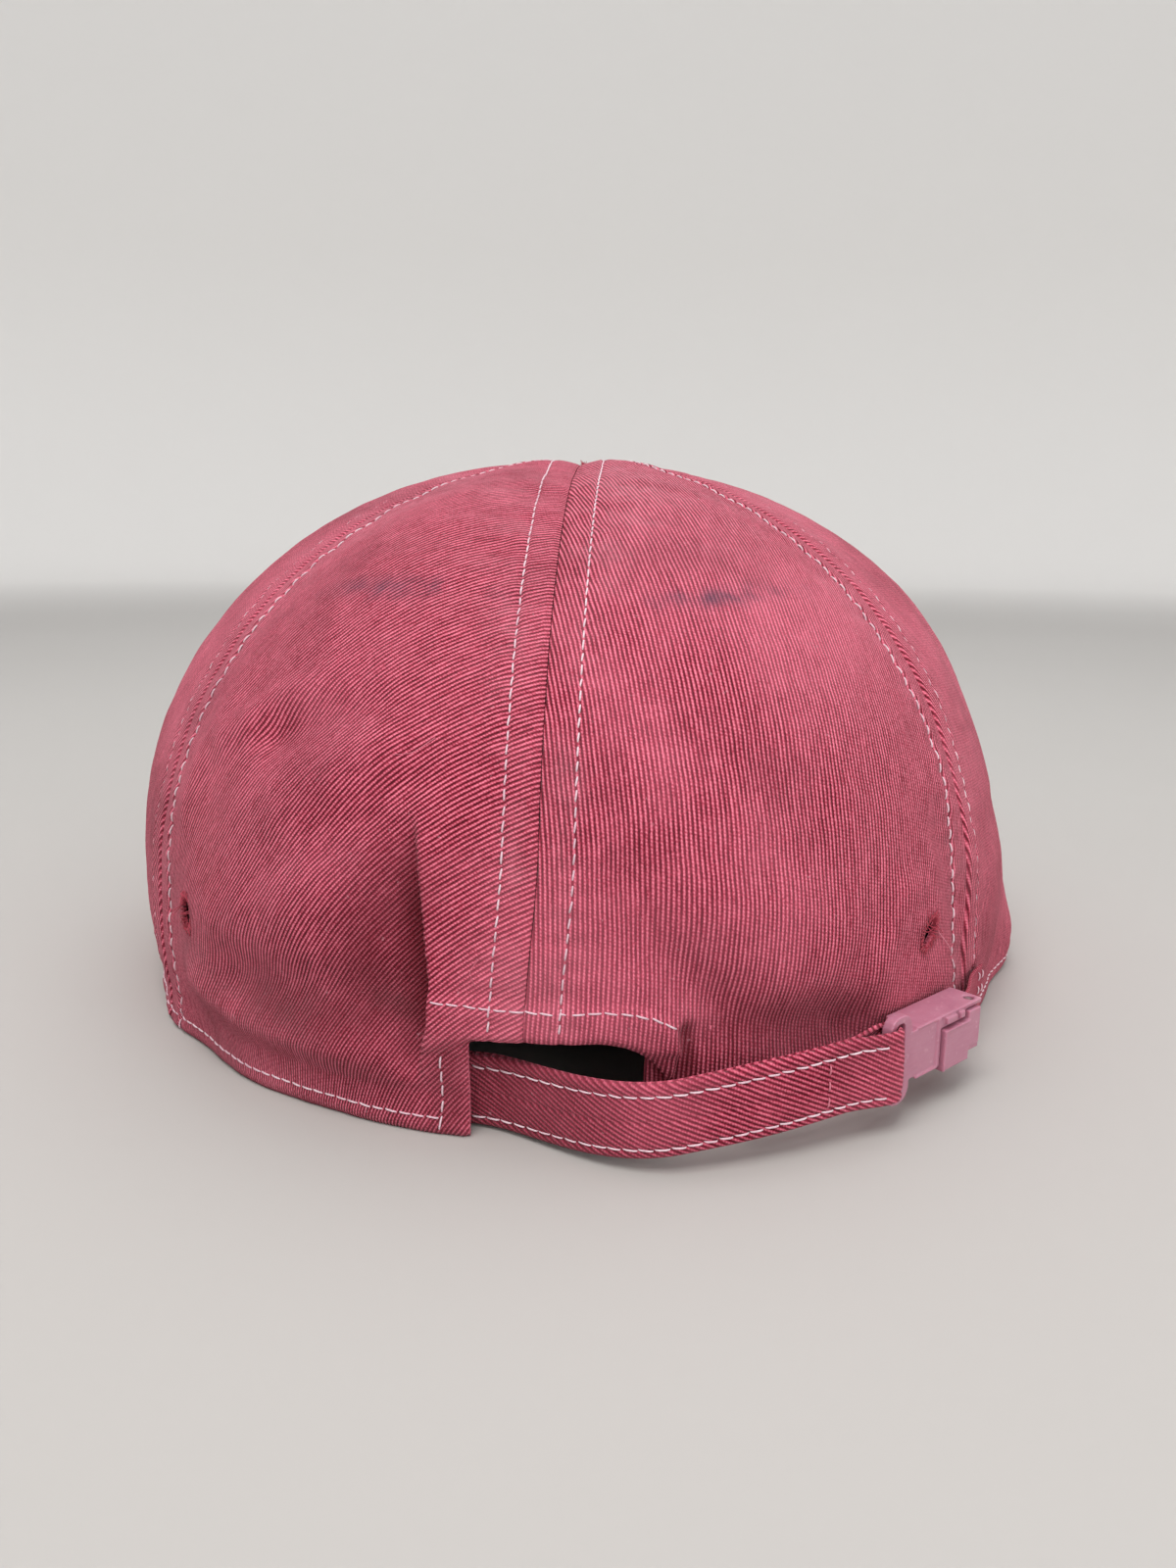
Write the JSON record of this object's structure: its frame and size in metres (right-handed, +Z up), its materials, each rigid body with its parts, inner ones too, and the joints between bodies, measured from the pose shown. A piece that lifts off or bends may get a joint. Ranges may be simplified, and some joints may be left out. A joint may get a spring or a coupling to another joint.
{
  "type": "bump cap",
  "caption": "Twill baseball-style bump cap with a plastic shell and foam pads inside, a stiff peak, and a rear strap held by a cam buckle that slides and flips open.",
  "frame": {"origin": "on the table, under the middle of the whole cap's box", "axes": "+Y towards the peak, +X towards the wearer's right, +Z up"},
  "size_m": [0.1884, 0.2862, 0.1055],
  "materials": {
    "red_twill": "faded crimson cotton twill",
    "red_lining": "matt red cotton tape",
    "peak_board_plastic": "plain white board",
    "shell_plastic": "satin grey moulding",
    "foam": "closed-cell foam, stated as fabric for its low density",
    "sweatband_cloth": "soft knitted band",
    "label_cloth": "plain woven label",
    "pink_plastic": "translucent pink moulding",
    "pin_metal": "plain steel pin"
  },
  "bodies": {
    "cap": {"back_panel_left": "red_twill", "back_panel_right": "red_twill", "side_panel_left": "red_twill", "side_panel_right": "red_twill", "front_panel_left": "red_twill", "front_panel_right": "red_twill", "eyelet_left": "red_lining", "eyelet_right": "red_lining", "seam_tape_back": "red_lining", "seam_tape_back_left": "red_lining", "seam_tape_back_right": "red_lining", "seam_tape_front_left": "red_lining", "seam_tape_front_right": "red_lining", "seam_tape_front": "red_lining", "apex_patch": "red_lining", "opening_facing": "red_twill", "peak_top_cover": "red_twill", "peak_board": "peak_board_plastic", "peak_under_cover": "red_lining", "bump_shell": "shell_plastic", "front_pad": "foam", "rear_pad": "foam", "side_pad_left": "foam", "side_pad_right": "foam", "crown_pad": "foam", "sweatband": "sweatband_cloth", "size_label": "label_cloth", "strap_left": "red_twill", "adjusting_tape": "red_lining"},
    "buckle": {"buckle_body": "pink_plastic", "lever_pin": "pin_metal"},
    "lever": {"buckle_lever": "pink_plastic"}
  },
  "joints": [
    {"name": "buckle_slide", "type": "hinge", "parent": "cap", "child": "buckle", "pos_m": [0, -0.05509, 0.011], "axis": [0, 0, 1], "range_deg": [-9, 0], "deforming": ["strap_left"]},
    {"name": "lever_flip", "type": "hinge", "parent": "buckle", "child": "lever", "pos_m": [0.07029, -0.10926, 0.011], "axis": [0, 0, 1], "range_deg": [0, 100]}
  ]
}
